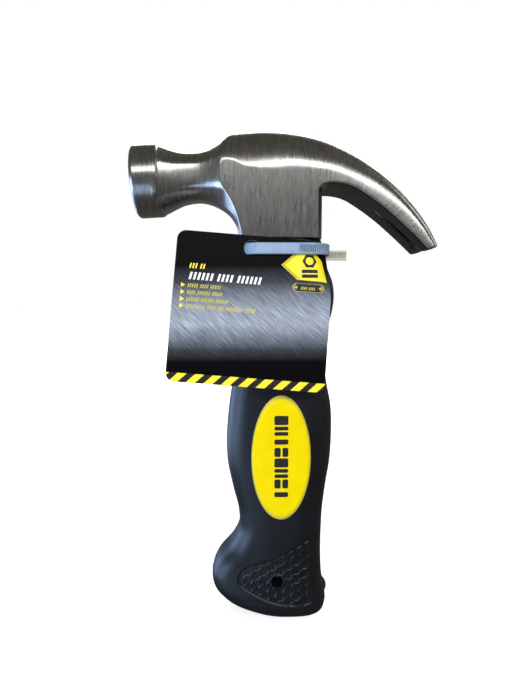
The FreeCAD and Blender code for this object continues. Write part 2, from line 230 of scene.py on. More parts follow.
# outer X and Z, inner X and Z, half width, height of the flat side
CROWN_SECTIONS = np.array([
    (-46.0, 168.5, -46.0, 137.2, 12.0, 21.0), (-30.0, 171.8, -30.0, 137.2, 12.0, 21.0),
    (-18.0, 173.6, -18.0, 137.2, 12.0, 21.2), (-12.0, 174.2, -12.0, 138.2, 11.8, 18.6),
    (-5.0, 174.6, -3.0, 149.0, 11.58, 9.0), (3.0, 174.2, 4.5, 152.5, 11.56, 6.4),
    (11.5, 172.8, 10.5, 154.0, 11.56, 4.6), (19.5, 170.2, 17.0, 155.0, 11.56, 2.8),
    (28.5, 165.7, 24.0, 153.9, 11.5, 1.5), (37.5, 158.9, 31.0, 149.9, 11.3, 1.2),
    (45.5, 150.3, 38.0, 144.7, 11.1, 1.3), (51.5, 142.2, 45.0, 138.6, 10.9, 1.1),
    (55.2, 135.2, 50.6, 133.3, 10.6, 0.9),
])
ARCH_EXPONENT = 2.05
TIP_FLATTEN = 1.1
TIP_FLATTEN_FROM = (7.5, 11.0)   # section numbers
TIP_TRIM = -0.35
TIP_ROUND = 1.0
CROWN_FOOT_ROUND = 0.9
NECK_CORNER_CUT = 0.672
NECK_FACET_ROUND = 0.09
NECK_ROUND_SHARE = 0.45
BELL_EDGE_ROUND = 0.25
SIDE_ROUND = 0.07
SLOT_APEX = np.array((35.0, 149.0))
SLOT_END = np.array((54.5, 132.0))
SLOT_HALF_APEX = 0.5
SLOT_HALF_END = 3.9
EYE_CAP_Z = 167.5
EYE_HALF_X = 10.1
EYE_HALF_Y = 7.1
EYE_CORNER = 3.4
GROOVE_R = 2.8
GROOVE_DEPTH = 2.2
MAGNET_R = 2.0
MAGNET_POCKET = 2.95
MAGNET_FROM_FACE = 5.2
HEAD_STEP = 0.34
HEAD_SPAN = ((-53.0, -13.6, 130.6), (56.6, 13.6, 176.0))
CHEEK_GRAIN_TOP_Z = 158.0

POLL_ALONG = np.array((-math.cos(POLL_DROOP), -math.sin(POLL_DROOP)))
POLL_UP = np.array((-math.sin(POLL_DROOP), math.cos(POLL_DROOP)))

section_number = np.arange(len(CROWN_SECTIONS), dtype=float)
crown_at = [curve_through(section_number, column) for column in CROWN_SECTIONS.T]
neck_at = [curve_through(NECK_SECTIONS[:, 0], column) for column in NECK_SECTIONS.T[1:]]


def section_frame(s):
    """Foot, direction and height of the crown's sections with the numbers s."""
    outer_x, outer_z, inner_x, inner_z = (f(s) for f in crown_at[:4])
    height = np.hypot(outer_x - inner_x, outer_z - inner_z)
    return inner_x, inner_z, (outer_x - inner_x) / height, (outer_z - inner_z) / height, height


class CrownMap:
    """For a point in the XZ plane: which crown section it lies on, and how high above its foot."""

    def __init__(self, low, high, step=0.4):
        self.low = np.array(low)
        self.step = step
        xs = np.arange(low[0], high[0] + step, step)
        zs = np.arange(low[1], high[1] + step, step)
        gx, gz = np.meshgrid(xs, zs, indexing="ij")
        self.shape = gx.shape
        px = gx.ravel()
        pz = gz.ravel()
        s = np.linspace(0, len(CROWN_SECTIONS) - 1, 481)
        inner_x, inner_z, ux, uz, height = section_frame(s)
        best_cost = np.full(px.shape, 1e9)
        best = np.zeros(px.shape, int)
        for k in range(len(s)):
            rx = px - inner_x[k]
            rz = pz - inner_z[k]
            t = rx * ux[k] + rz * uz[k]
            outside = np.maximum(np.maximum(-t - 2, t - height[k] - 2), 0)
            cost = np.abs(ux[k] * rz - uz[k] * rx) + 0.5 * outside
            nearer = cost < best_cost
            best_cost[nearer] = cost[nearer]
            best[nearer] = k
        k = np.clip(best, 1, len(s) - 2)
        side = [ux[j] * (pz - inner_z[j]) - uz[j] * (px - inner_x[j]) for j in (k - 1, k + 1)]
        change = side[0] - side[1]
        change = np.where(np.abs(change) < 1e-9, 1e-9, change)
        exact = s[k - 1] + (s[k + 1] - s[k - 1]) * np.clip(side[0] / change, 0, 1)
        self.section = exact.reshape(self.shape)

    def __call__(self, x, z):
        fx = np.clip((x - self.low[0]) / self.step, 0, self.shape[0] - 1.001)
        fz = np.clip((z - self.low[1]) / self.step, 0, self.shape[1] - 1.001)
        i = fx.astype(int)
        j = fz.astype(int)
        tx = fx - i
        tz = fz - j
        g = self.section
        s = (g[i, j] * (1 - tx) * (1 - tz) + g[i + 1, j] * tx * (1 - tz)
             + g[i, j + 1] * (1 - tx) * tz + g[i + 1, j + 1] * tx * tz)
        inner_x, inner_z, ux, uz, height = section_frame(s)
        t = (x - inner_x) * ux + (z - inner_z) * uz
        return s, t, height


crown_map = CrownMap((-54.0, 126.0), (59.0, 178.0))
tip_outer = CROWN_SECTIONS[-1, 0:2]
tip_inner = CROWN_SECTIONS[-1, 2:4]
tip_across = unit(tip_outer - tip_inner)
tip_along = np.array((tip_across[1], -tip_across[0]))


def section_distance(u, v, half_u, half_v, exponent):
    """About how far outside a rounded section a point is, from its shares u and v of the half sizes."""
    radius = np.maximum((u ** exponent + v ** exponent) ** (1 / exponent), 1e-6)
    slope = np.hypot((u / radius) ** (exponent - 1) / half_u, (v / radius) ** (exponent - 1) / half_v)
    return (radius - 1) / np.maximum(slope, 1e-6)


def crown_distance(x, y, z):
    s, t, height = crown_map(x, z)
    half_width, side_height = (f(s) for f in crown_at[4:])
    p = ARCH_EXPONENT + TIP_FLATTEN * smoothstep(s, *TIP_FLATTEN_FROM)
    rise = np.maximum(height - side_height, 0.5)
    above = np.maximum(t - side_height, 0) / rise
    arch = section_distance(np.abs(y) / half_width, above, half_width, rise, p)
    body = smooth_max(arch, -t, CROWN_FOOT_ROUND)
    past_tip = (x - tip_outer[0]) * tip_along[0] + (z - tip_outer[1]) * tip_along[1]
    return smooth_max(body, past_tip + TIP_TRIM, TIP_ROUND)


def neck_distance(x, y, z):
    middle, half_z, half_y, exponent = (f(x) for f in neck_at)
    v = np.abs(z - middle) / half_z
    w = np.abs(y) / half_y
    rounded = section_distance(v, w, half_z, half_y, exponent)
    corner = (v + w) * NECK_CORNER_CUT
    ground = smooth_max(smooth_max(v, w, NECK_FACET_ROUND), corner, NECK_FACET_ROUND)
    facets = (ground - 1) * np.minimum(half_z, half_y)
    flare = 1 / np.sqrt(1 + (neck_at[1](x + 0.5) - neck_at[1](x - 0.5)) ** 2)
    inside = (NECK_ROUND_SHARE * rounded + (1 - NECK_ROUND_SHARE) * facets) * flare
    return np.maximum(inside, NECK_SECTIONS[0, 0] - x)


def cheek_distance(x, y, z):
    half_y = np.abs(y)
    run = math.hypot(BEVEL_X, BEVEL_Y)
    inner_y = CHEEK_HALF_Y - BEVEL_Y
    block = np.maximum(np.maximum(CHEEK_LEFT_X - x, x - CHEEK_RIGHT_X), CHEEK_BOTTOM_Z - z)
    block = np.maximum(block, z - CHEEK_TOP_Z)
    for edge in (CHEEK_LEFT_X - x, x - CHEEK_RIGHT_X):
        bevel = (edge * BEVEL_Y + (half_y - inner_y) * BEVEL_X) / run
        block = smooth_max(block, bevel, 0.5)
    return block


def poll_place(x, z):
    """Distances from the neck's waist along the poll's axis and square to it."""
    rx = x - POLL_NECK[0]
    rz = z - POLL_NECK[1]
    return rx * POLL_ALONG[0] + rz * POLL_ALONG[1], rx * POLL_UP[0] + rz * POLL_UP[1]


def bell_distance(x, y, z):
    along, up = poll_place(x, z)
    radial = np.hypot(y, up)
    face = np.sqrt((along - BELL_FACE + FACE_CROWN_R) ** 2 + radial ** 2) - FACE_CROWN_R
    front = (radial - BELL_R + along - BELL_FACE + FACE_CHAMFER) / math.sqrt(2)
    rear = (radial - BELL_R + BELL_REAR - along + REAR_CHAMFER) / math.sqrt(2)
    body = radial - BELL_R
    for other in (face, front, BELL_REAR - along, rear):
        body = smooth_max(body, other, BELL_EDGE_ROUND)
    return body


def slot_distance(x, y, z):
    length = np.linalg.norm(SLOT_END - SLOT_APEX)
    along = (SLOT_END - SLOT_APEX) / length
    run = (x - SLOT_APEX[0]) * along[0] + (z - SLOT_APEX[1]) * along[1]
    half = SLOT_HALF_APEX + (SLOT_HALF_END - SLOT_HALF_APEX) * np.clip(run / length, 0, 1.4)
    return np.maximum(np.abs(y) - half, -run)


def groove_distance(x, y, z):
    along, up = poll_place(x, z)
    floor = BELL_R - GROOVE_DEPTH
    trough = np.maximum(np.hypot(y, up - floor - GROOVE_R) - GROOVE_R, -along)
    off_axis = np.hypot(along - BELL_FACE + MAGNET_FROM_FACE, y)
    pocket = np.maximum(off_axis - MAGNET_R, floor - MAGNET_POCKET - up)
    return np.minimum(trough, np.maximum(pocket, -up))


def eye_distance(x, y):
    ex = np.abs(x) - EYE_HALF_X + EYE_CORNER
    ey = np.abs(y) - EYE_HALF_Y + EYE_CORNER
    return np.hypot(np.maximum(ex, 0), np.maximum(ey, 0)) + np.minimum(np.maximum(ex, ey), 0) - EYE_CORNER


def head_distance(points):
    """How far a point is outside the head's surface, about, in millimetres."""
    x, y, z = points.T
    horn = smooth_min(neck_distance(x, y, z), HORN_END_X - x, 0.4)
    upper = smooth_max(crown_distance(x, y, z), horn, 0.7)
    blend_r = 0.8 + 1.9 * smoothstep(x, 5.0, 12.0)
    body = smooth_min(upper, cheek_distance(x, y, z), blend_r)
    body = smooth_max(body, np.abs(y) - CHEEK_HALF_Y, SIDE_ROUND)
    body = smooth_min(body, bell_distance(x, y, z), 0.7)
    body = smooth_max(body, -slot_distance(x, y, z), 0.6)
    body = smooth_max(body, -groove_distance(x, y, z), 0.3)
    return np.maximum(body, -np.maximum(eye_distance(x, y), z - EYE_CAP_Z))


def surface_net(distance, low, high, step):
    """A quad mesh over a distance's zero surface, its points moved onto it."""
    axes = [np.arange(a, b + step, step) for a, b in zip(low, high)]
    shape = [len(a) for a in axes]
    field = np.empty(shape, np.float32)
    for i, x in enumerate(axes[0]):
        gy, gz = np.meshgrid(axes[1], axes[2], indexing="ij")
        points = np.stack([np.full(gy.size, x), gy.ravel(), gz.ravel()], 1)
        field[i] = distance(points).reshape(gy.shape)
    inside = field < 0
    cells = [n - 1 for n in shape]

    def corner(grid, offset):
        return grid[tuple(slice(o, o + c) for o, c in zip(offset, cells))]

    offsets = [(a, b, c) for a in (0, 1) for b in (0, 1) for c in (0, 1)]
    count = sum(corner(inside, o).astype(np.int8) for o in offsets)
    active = (count > 0) & (count < 8)
    index = np.full(cells, -1, np.int64)
    index[active] = np.arange(active.sum())
    place = np.argwhere(active).astype(float)
    total = np.zeros_like(place)
    hits = np.zeros(len(place))
    for offset in offsets:
        for axis in range(3):
            if offset[axis]:
                continue
            far = list(offset)
            far[axis] = 1
            a = corner(field, offset)[active]
            b = corner(field, far)[active]
            crosses = (a < 0) != (b < 0)
            t = np.where(crosses, a / np.where(crosses, a - b, 1), 0)
            point = np.tile(np.array(offset, float), (len(place), 1))
            point[:, axis] += t
            total[crosses] += point[crosses]
            hits += crosses
    vertices = np.array(low) + step * (place + total / hits[:, None])
    faces = []
    for axis in range(3):
        one = (axis + 1) % 3
        two = (axis + 2) % 3
        span = [slice(1, n - 1) for n in shape]
        span[axis] = slice(0, shape[axis] - 1)
        ahead = list(span)
        ahead[axis] = slice(1, shape[axis])
        a = inside[tuple(span)]
        b = inside[tuple(ahead)]
        for wanted, flip in ((a & ~b, False), (~a & b, True)):
            at = np.argwhere(wanted)
            at[:, one] += 1
            at[:, two] += 1
            ring = []
            for d_one, d_two in ((-1, -1), (0, -1), (0, 0), (-1, 0)):
                cell = at.copy()
                cell[:, one] += d_one
                cell[:, two] += d_two
                ring.append(index[cell[:, 0], cell[:, 1], cell[:, 2]])
            quads = np.stack(ring, 1)
            faces.append(quads[:, ::-1] if flip else quads)
    for _ in range(3):
        value = distance(vertices)
        slope = gradient(distance, vertices)
        move = value[:, None] * slope / np.maximum((slope ** 2).sum(1), 0.2)[:, None]
        length = np.linalg.norm(move, axis=1, keepdims=True)
        vertices -= move * np.minimum(1, 0.4 * step / np.maximum(length, 1e-9))
    return vertices, np.concatenate(faces)


def gradient(distance, points, reach=0.04):
    slope = np.empty_like(points)
    for axis in range(3):
        shift = np.zeros(3)
        shift[axis] = reach
        slope[:, axis] = (distance(points + shift) - distance(points - shift)) / (2 * reach)
    return slope


def make_head():
    vertices, faces = surface_net(head_distance, *HEAD_SPAN, HEAD_STEP)
    head = new_mesh("head_forged", vertices, faces)
    change_faces(head, bmesh.ops.triangulate, quad_method="SHORT_EDGE")
    x, y, z = vertices.T
    slope = unit(gradient(head_distance, vertices, 0.15))
    s, _, _ = crown_map(x, z)
    outer = np.stack([crown_at[0](section_number), crown_at[1](section_number)], 1)
    along_key = path_length(outer) + outer[0, 0]
    along = np.where(x < HORN_END_X, x, curve_through(section_number, along_key)(s))
    # on the cheek the grinding lines are upright; on the claw they lie across it
    lower = smoothstep(CHEEK_GRAIN_TOP_Z - z, 0, 6) * (x < CHEEK_RIGHT_X + 1)
    along = along * (1 - lower) + x * lower
    add_attribute(head, "grain_place", "FLOAT_VECTOR", np.stack([along, y, z], 1))
    across = np.cross(slope, (1.0, 0.0, 0.0))
    across[:, 2] += 0.05
    claw = smoothstep(x, 8, 20)[:, None]
    step_x = crown_at[0](s + 0.05) - crown_at[0](s - 0.05)
    step_z = crown_at[1](s + 0.05) - crown_at[1](s - 0.05)
    run = unit(np.stack([step_x, 0 * step_x, step_z], 1))
    across = unit(across * (1 - claw) + np.cross(slope, run) * claw)
    add_attribute(head, "across_grain", "FLOAT_VECTOR", np.cross(across, slope))
    # forging scale is left dark under the claw and inside the slot
    _, _, ux, uz, _ = section_frame(s)
    under = smoothstep(-(slope[:, 0] * ux + slope[:, 2] * uz), 0.45, 0.75) * smoothstep(x, 13.0, 16.5)
    in_slot = smoothstep(0.25 - slot_distance(x, y, z), 0, 0.2) * smoothstep(np.abs(slope[:, 1]), 0.5, 0.8)
    in_slot = in_slot * smoothstep(x, 36.0, 38.0) * (np.abs(y) < 5.5)
    add_attribute(head, "scale_dark", "FLOAT", np.maximum(under, 0.8 * in_slot))
    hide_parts("head")
    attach(head, "hammer")
    return head


# ---------------------------------------------------------------- grip

GRIP_STATIONS = np.array([
    (0.0, -3.6, 12.6, 9.0), (1.6, -8.6, 15.9, 11.4), (4.2, -16.2, 17.3, 12.8), (8.6, -22.6, 17.0, 13.4),
    (14.4, -24.9, 16.0, 13.5), (20.4, -22.8, 15.6, 13.4), (26.0, -17.9, 15.5, 13.2),
    (32.0, -14.9, 15.6, 13.1), (39.0, -14.9, 15.9, 13.1), (48.5, -17.1, 17.0, 13.4),
    (58.5, -19.0, 18.5, 13.8), (68.0, -19.1, 19.0, 13.9), (78.0, -18.2, 18.7, 13.6),
    (88.0, -16.8, 16.9, 13.1), (97.0, -16.2, 16.2, 12.8), (105.0, -16.9, 16.8, 13.4),
    (112.0, -18.6, 18.7, 14.3), (117.5, -19.2, 19.3, 14.7), (122.5, -18.6, 18.7, 13.8),
    (126.5, -17.1, 17.2, 12.8), (131.0, -15.3, 15.3, 11.5), (136.8, -14.7, 14.7, 11.0),
])
GRIP_EXPONENT = 3.2
PAD_TOP_Z = 33.0
PAD_OUTLINE = np.array([
    (-15.4, 16.6), (-14.6, 19.2), (-12.8, 21.2), (-10.0, 22.3), (-6.2, 23.3), (-2.8, 24.3), (0.6, 25.7),
    (4.0, 27.7), (7.7, 29.9), (10.8, 31.4), (13.4, 31.6), (14.2, 26.0), (14.0, 16.0), (13.4, 9.0),
    (11.2, 6.8), (8.4, 6.2), (5.0, 6.3), (1.3, 6.6), (-2.0, 7.3), (-5.6, 8.7), (-8.6, 10.3),
    (-11.4, 12.0), (-13.8, 13.6), (-15.1, 15.0),
])
HEX_PITCH = 3.3
PAD_DEPTH = 0.55
HEX_WALL = 0.42
BADGE_CENTRE = (0.1, 61.2)
BADGE_HALF = (10.5, 22.2)
BADGE_SEAT_Y = 11.8
BADGE_TOP_Y = 14.2
BADGE_DOME_R = 95.0
HANG_HOLE = (-1.2, 15.9)
HANG_HOLE_R = 2.1
CORE_HALF = (9.2, 6.2)
CORE_CORNER = 2.5
CORE_BOTTOM_Z = 6.0
GRIP_TOP_Z = 136.8
GRIP_COLUMNS = 440
FACING_SHARE = (0.78, 0.94)
HEEL_NUB = (8.0, 1.7, 2.2, 1.0)   # Z, half height, half width in Y, how far it stands out
SEAM_HALF_Y = 0.22
SEAM_PROUD = 0.1
CUTTER_POINTS = 160

grip_at = [curve_through(GRIP_STATIONS[:, 0], column) for column in GRIP_STATIONS.T[1:]]


def outline_distance(points, outline):
    """Signed distance in the plane to a closed outline, negative inside."""
    best = np.full(len(points), 1e9)
    inside = np.zeros(len(points), bool)
    for a, b in zip(outline, np.roll(outline, -1, axis=0)):
        edge = b - a
        rel = points - a
        t = np.clip((rel @ edge) / (edge @ edge), 0, 1)
        best = np.minimum(best, np.linalg.norm(rel - t[:, None] * edge, axis=1))
        straddles = (a[1] > points[:, 1]) != (b[1] > points[:, 1])
        rise = edge[1] if abs(edge[1]) > 1e-12 else 1e-12
        inside ^= straddles & (points[:, 0] < a[0] + (points[:, 1] - a[1]) / rise * edge[0])
    return np.where(inside, -best, best)


def smooth_outline(outline):
    """Corner cutting, twice."""
    for _ in range(2):
        after = np.roll(outline, -1, axis=0)
        outline = np.stack([0.75 * outline + 0.25 * after, 0.25 * outline + 0.75 * after], 1).reshape(-1, 2)
    return outline


def hex_edge(points):
    """Distance from the nearest wall between flat-topped hexagons."""
    normals = np.array([(0.0, 1.0), (math.sqrt(0.75), 0.5), (math.sqrt(0.75), -0.5)])
    basis = np.array([(math.sqrt(0.75) * HEX_PITCH, 0.5 * HEX_PITCH), (0.0, HEX_PITCH)])
    cell = np.floor(points @ np.linalg.inv(basis))
    best = np.full(len(points), 1e9)
    for i in (-1, 0, 1, 2):
        for j in (-1, 0, 1, 2):
            rel = points - (cell + (i, j)) @ basis
            best = np.minimum(best, np.abs(rel @ normals.T).max(1))
    return HEX_PITCH / 2 - best


def grip_relief(x, z):
    """How far the grip's front and back are pressed in, in the heel's pads."""
    points = np.stack([x, z], 1)
    edge = outline_distance(points, smooth_outline(PAD_OUTLINE))
    pad = smoothstep(-edge, -0.1, 0.45) * (1 - smoothstep(x, 9.5, 13.0))
    wall = 1 - smoothstep(hex_edge(points), HEX_WALL * 0.4, HEX_WALL)
    away = smoothstep(np.hypot(x - HANG_HOLE[0], z - HANG_HOLE[1]), HANG_HOLE_R + 0.5, HANG_HOLE_R + 1.0)
    wall = wall * smoothstep(-edge, 0.5, 1.0)
    return PAD_DEPTH * pad * (1 - 0.72 * wall) * (0.5 + 0.5 * away)


def grip_radius(cosine, sine, half_x, half_y):
    return ((np.abs(cosine) / half_x) ** GRIP_EXPONENT
            + (np.abs(sine) / half_y) ** GRIP_EXPONENT) ** (-1 / GRIP_EXPONENT)


def make_grip():
    rows = np.concatenate([[0, 0.12, 0.3, 0.55, 0.85], np.arange(1.2, 5.0, 0.4),
                           np.arange(5.0, PAD_TOP_Z, 0.24), np.arange(PAD_TOP_Z, GRIP_TOP_Z, 0.6),
                           [GRIP_TOP_Z]])
    # the columns are evenly spaced round a typical section
    turn = np.linspace(0, 2 * math.pi, 20001)[:-1]
    radius = grip_radius(np.cos(turn), np.sin(turn), 17, 13)
    ring = np.stack([radius * np.cos(turn), radius * np.sin(turn)], 1)
    length = path_length(ring)
    angle = np.interp(np.arange(GRIP_COLUMNS) / GRIP_COLUMNS * length[-1], length, turn)
    left, right, half_y = (f(rows)[:, None] for f in grip_at)
    middle = (left + right) / 2
    cosine = np.cos(angle)[None, :]
    sine = np.sin(angle)[None, :]
    r = grip_radius(cosine, sine, (right - left) / 2, half_y)
    x = middle + r * cosine
    y = r * sine
    z = np.repeat(rows[:, None], GRIP_COLUMNS, axis=1)
    facing = smoothstep(np.abs(y) / half_y, *FACING_SHARE)
    pressed = grip_relief(x.ravel(), z.ravel()).reshape(x.shape) * facing
    y = y - np.sign(y) * pressed
    nub_z, nub_half_z, nub_half_y, nub_proud = HEEL_NUB
    nub = np.exp(-((z - nub_z) / nub_half_z) ** 4 - (y / nub_half_y) ** 4)
    x = x + nub_proud * nub * (cosine > 0)
    seam = np.exp(-(y / SEAM_HALF_Y) ** 2) * smoothstep(z, 2, 6) * (1 - smoothstep(z, 126, 131))
    x = x + SEAM_PROUD * seam * np.sign(cosine)
    caps = [(middle[0, 0], 0, 0.0), (middle[-1, 0], 0, rows[-1])]
    vertices = np.concatenate([np.stack([x, y, z], -1).reshape(-1, 3), caps])
    faces = ring_quads(len(rows), GRIP_COLUMNS) + end_fans(len(rows), GRIP_COLUMNS)
    grip = new_mesh("grip_moulded", vertices, faces)
    core_ring = round_box(*CORE_HALF, CORE_CORNER, 8)
    badge_ring = oval(BADGE_CENTRE, BADGE_HALF, CUTTER_POINTS)
    cut(grip, post("cut_core", core_ring, CORE_BOTTOM_Z, GRIP_TOP_Z + 3.2, 2))
    cut(grip, post("cut_hole", oval(HANG_HOLE, (HANG_HOLE_R, HANG_HOLE_R), CUTTER_POINTS), -30, 30, 1))
    cut(grip, post("cut_front", badge_ring, -30, -BADGE_SEAT_Y, 1))
    cut(grip, post("cut_back", badge_ring, BADGE_SEAT_Y, 30, 1))
    smooth_to(grip, 40)
    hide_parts("grip")
    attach(grip, "hammer")
    return grip


# ---------------------------------------------------------------- inlays

BADGE_POINTS = 200
BADGE_RIM_DROP = 0.75
BADGE_FLAT_DROP = 0.06   # the printed middle lies this far below the rim's crest
MARK_PROUD = 0.1


def badge_top(x):
    return BADGE_TOP_Y - x * x / (2 * BADGE_DOME_R)


def make_badge(name, side, node):
    # share of the oval, and drop below the dome; None is the seat
    levels = [(1.0, None), (1.0, BADGE_RIM_DROP + 0.25), (0.995, BADGE_RIM_DROP), (0.97, 0.45), (0.94, 0.2),
              (0.91, 0.06), (0.885, 0.0), (0.86, 0.04), (0.83, BADGE_FLAT_DROP)]
    levels += [(share, BADGE_FLAT_DROP) for share in np.linspace(0.78, 0.06, 14)]
    vertices = []
    for share, drop in levels:
        for x, z in oval((0, 0), (BADGE_HALF[0] * share, BADGE_HALF[1] * share), BADGE_POINTS):
            y = BADGE_SEAT_Y if drop is None else badge_top(x) - drop
            vertices.append((x + BADGE_CENTRE[0], side * y, z + BADGE_CENTRE[1]))
    for y in (BADGE_SEAT_Y, BADGE_TOP_Y - BADGE_FLAT_DROP):
        vertices.append((BADGE_CENTRE[0], side * y, BADGE_CENTRE[1]))
    faces = ring_quads(len(levels), BADGE_POINTS) + end_fans(len(levels), BADGE_POINTS)
    badge = new_mesh(name, vertices, faces)
    recalculate_normals(badge)
    badge.data.set_sharp_from_angle(angle=math.radians(50))
    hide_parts(node)
    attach(badge, "hammer")
    return badge


# generic marks down the inlay: each is a set of bars (low X, high X, low Z, high Z) in a unit block
SOLID = [(0.0, 1.0, 0.0, 1.0)]
BAND = [(0.0, 1.0, 0.25, 0.8)]
ROWS = [(0.0, 1.0, 0.0, 0.42), (0.0, 1.0, 0.6, 1.0)]
COLUMNS = [(0.0, 0.45, 0.0, 1.0), (0.58, 1.0, 0.0, 1.0)]
MARK_BLOCKS = [SOLID, ROWS, BAND, COLUMNS, SOLID, ROWS, COLUMNS, BAND]
MARK_HALF_X = 2.4
MARK_HEIGHT = 3.2
MARK_PITCH = 3.75
MARK_TOP_Z = 76.4
MARK_CORNER = 0.35


def make_marks(name, side):
    vertices = []
    faces = []
    for number, bars in enumerate(MARK_BLOCKS):
        top = MARK_TOP_Z - number * MARK_PITCH
        for low_x, high_x, low_z, high_z in bars:
            add_plate(vertices, faces, side, [MARK_HALF_X * (2 * share - 1) for share in (low_x, high_x)],
                      (top - MARK_HEIGHT * high_z, top - MARK_HEIGHT * low_z))
    marks = new_mesh(name, vertices, faces, smooth=False)
    recalculate_normals(marks)
    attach(marks, "hammer")
    return marks


def add_plate(vertices, faces, side, span_x, span_z):
    """A thin printed plate with cut corners that follows the inlay's dome."""
    low_x, high_x = span_x
    low_z, high_z = span_z
    c = MARK_CORNER
    ring = [(high_x, high_z - c), (high_x - c, high_z), (low_x + c, high_z), (low_x, high_z - c),
            (low_x, low_z + c), (low_x + c, low_z), (high_x - c, low_z), (high_x, low_z + c)]
    base = len(vertices)
    for lift in (-MARK_PROUD, MARK_PROUD):
        for x, z in ring:
            y = badge_top(x) - BADGE_FLAT_DROP + lift
            vertices.append((x + BADGE_CENTRE[0], side * y, z))
    count = len(ring)
    faces.append([base + k for k in range(count)])
    faces.append([base + count + k for k in reversed(range(count))])
    faces.extend([base + k for k in quad] for quad in ring_quads(2, count))


# ---------------------------------------------------------------- tag

TAG_TILT = math.radians(9.0)
TAG_POINT = np.array((0.0, -15.5, 117.5))
TAG_THICK = 0.5
TAG_SIZE = (52.6, 50.6)
TAG_CORNER_R = 3.0
TAG_TURN = math.radians(-4.6)
TAG_CENTRE = np.array((-10.4, -5.1))
TAG_HOLE = np.array((-9.9, 15.9))
TAG_HOLE_R = 2.75
TAG_GRID = 1.25
FOLD_APEX = np.array((17.1, -3.0))
FOLD_TOP_V = 20.0
FOLD_TOP_U = (2.6, 16.6)
FOLD_TOTAL = math.radians(60.0)
FOLD_COUNT = 20
TAG_ACROSS = np.array((1.0, 0.0, 0.0))
TAG_UP = np.array((0.0, math.sin(TAG_TILT), math.cos(TAG_TILT)))
TAG_OUT = np.array((0.0, -math.cos(TAG_TILT), math.sin(TAG_TILT)))


def tag_space(u, v, w):
    """From the tag's own flat plane to the wrapped tag's place."""
    points = TAG_POINT + np.outer(u, TAG_ACROSS) + np.outer(v, TAG_UP) + np.outer(w, TAG_OUT)
    folds = []
    for i in range(FOLD_COUNT):
        share = (i + 0.5) / FOLD_COUNT
        top = np.array((FOLD_TOP_U[0] + (FOLD_TOP_U[1] - FOLD_TOP_U[0]) * share, FOLD_TOP_V))
        run = unit(top - FOLD_APEX)
        beyond = (u - FOLD_APEX[0]) * run[1] - (v - FOLD_APEX[1]) * run[0] > 0
        folds.append((run, beyond))
    start = TAG_POINT + FOLD_APEX[0] * TAG_ACROSS + FOLD_APEX[1] * TAG_UP + TAG_THICK * TAG_OUT
    for run, beyond in reversed(folds):
        axis = run[0] * TAG_ACROSS + run[1] * TAG_UP
        turn = np.array(Matrix.Rotation(FOLD_TOTAL / FOLD_COUNT, 3, Vector(axis)))
        points[beyond] = start + (points[beyond] - start) @ turn.T
    return points


def turned(points):
    """From the tag's own straight edges to its plane, where it hangs turned."""
    return TAG_CENTRE + np.asarray(points, float) @ turn_matrix(TAG_TURN)


def box_ring(low_u, high_u, low_v, high_v):
    return np.array([(low_u, low_v), (high_u, low_v), (high_u, high_v), (low_u, high_v)])


PRINT, YELLOW, WHITE, BLACK, DIM, BOARD = range(6)


def text_bars(start_u, length, low_v, height, words, ink):
    """A row of slanted even strokes with word gaps, in place of lettering."""
    stroke = height * 0.3
    pitch = height * 0.56
    lean = height * 0.22
    shapes = []
    u = start_u
    for count in words:
        for _ in range(count):
            if u + stroke < start_u + length:
                block = [(u, low_v), (u + stroke, low_v), (u + stroke + lean, low_v + height),
                         (u + lean, low_v + height)]
                shapes.append((turned(block), ink))
            u += pitch
        u += height * 0.4
    return shapes


def tag_print():
    """Outlines in the tag's plane with their inks, the last over the first."""
    half_u = TAG_SIZE[0] / 2
    half_v = TAG_SIZE[1] / 2
    shapes = []
    stripe_top = -half_v + 3.0
    shapes.append((turned(box_ring(-half_u, half_u, -half_v, stripe_top)), BLACK))
    pitch = 5.75
    for k in range(-1, 10):
        low = -half_u + k * pitch + 1.0
        band = np.array([(low, -half_v), (low + pitch * 0.52, -half_v),
                         (low + pitch * 0.52 + 3.0, stripe_top), (low + 3.0, stripe_top)])
        shapes.append((turned(band), YELLOW))
    shapes += text_bars(-21.5, 5.4, 12.7, 1.7, (3, 2), YELLOW)
    shapes += text_bars(-21.4, 29.2, 8.9, 2.5, (6, 4, 6), WHITE)
    for row, (length, words) in enumerate(((14.0, (5, 4, 5)), (14.0, (4, 6, 5)), (16.8, (6, 6, 6)),
                                           (25.6, (9, 4, 3, 8, 5)))):
        v = 6.9 - 2.33 * row
        shapes.append((turned([(-23.7, v - 0.8), (-22.3, v), (-23.7, v + 0.8)]), YELLOW))
        shapes += text_bars(-21.6, length, v - 0.65, 1.3, words, DIM)
    pentagon = np.array([(1.1, 10.3), (5.6, 14.1), (11.8, 14.4), (14.2, 12.2), (15.3, 4.4), (6.5, 5.2)])
    chevron = np.array([(5.6, 14.1), (1.1, 10.3), (6.5, 5.2)])
    for out in (1.2, 0.5):
        line = chevron - (out, 0)
        inner = chevron - (out - 0.38, 0)
        shapes.append((np.concatenate([line, inner[::-1]]), YELLOW))
    shapes.append((pentagon, YELLOW))
    shapes.append((oval((9.4, 11.6), (2.5, 2.5), 6), BLACK))
    shapes.append((oval((9.4, 11.6), (1.35, 1.35), 20), YELLOW))
    shapes += [(box_ring(6.7, 12.1, 7.5, 8.7), BLACK), (box_ring(6.7, 12.1, 5.9, 7.1), BLACK)]
    middle = np.array((8.8, 2.5))
    pill = round_box(5.2, 1.35, 1.34, 6) @ np.array([(0.9976, -0.07), (0.07, 0.9976)])
    shapes += [(middle + pill, DIM), (middle + pill * 0.93, BLACK)]
    for u, v in ((4.7, 2.8), (12.9, 2.2)):
        shapes.append((oval((u, v), (0.62, 0.62), 4), DIM))
    shapes += text_bars(16.0, 6.0, 8.4, 1.0, (4, 4), DIM)
    return shapes


